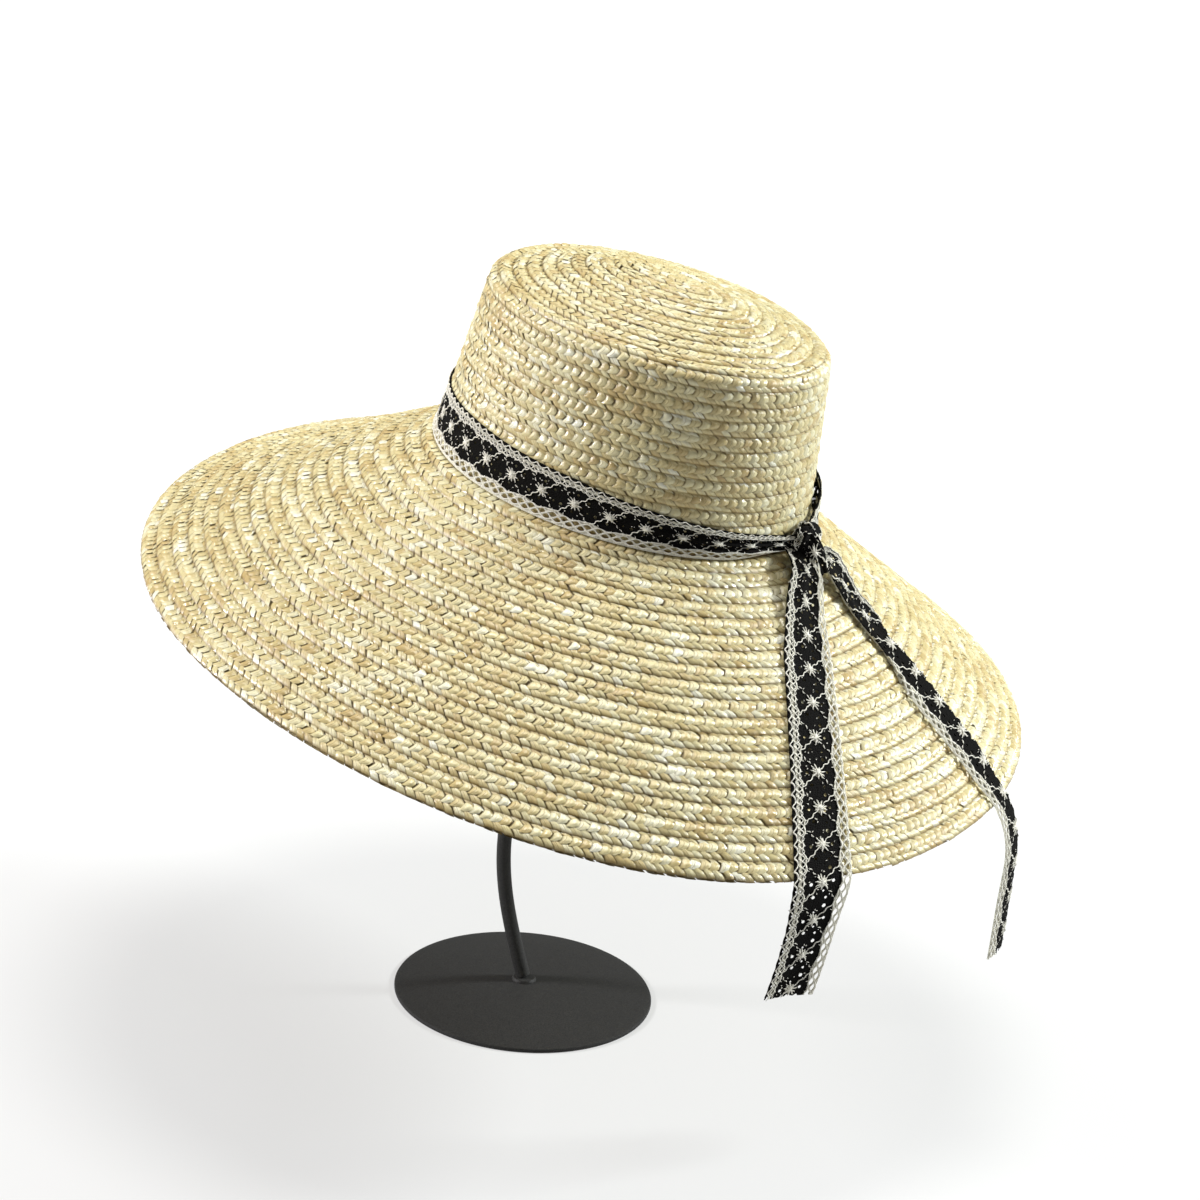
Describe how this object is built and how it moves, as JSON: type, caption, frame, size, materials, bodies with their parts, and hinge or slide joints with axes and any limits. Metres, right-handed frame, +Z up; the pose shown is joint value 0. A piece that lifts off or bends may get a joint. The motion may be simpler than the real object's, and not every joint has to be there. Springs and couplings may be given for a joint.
{
  "type": "straw hat on a display stand",
  "caption": "Wide sloping-brim straw hat of sewn braid with a low oval crown and a knotted lace ribbon, on a small round-based metal display stand.",
  "frame": {"origin": "centre of the underside of the stand's base", "axes": "+Z up, -Y the way the hat faces, +X the wearer's left; the ribbon is knotted at +Y"},
  "size_m": [0.4478, 0.4754, 0.4133],
  "materials": {
    "straw": "natural wheat straw plait, satin",
    "lace": "black and cream cotton bobbin lace",
    "black_steel": "matte black powder coat"
  },
  "bodies": {
    "root": {"crown": "straw", "brim": "straw", "hatband": "lace", "knot": "lace", "tail_near": "lace", "tail_far": "lace", "stand_base": "black_steel", "stand_rod": "black_steel", "stand_head": "black_steel"}
  },
  "joints": []
}
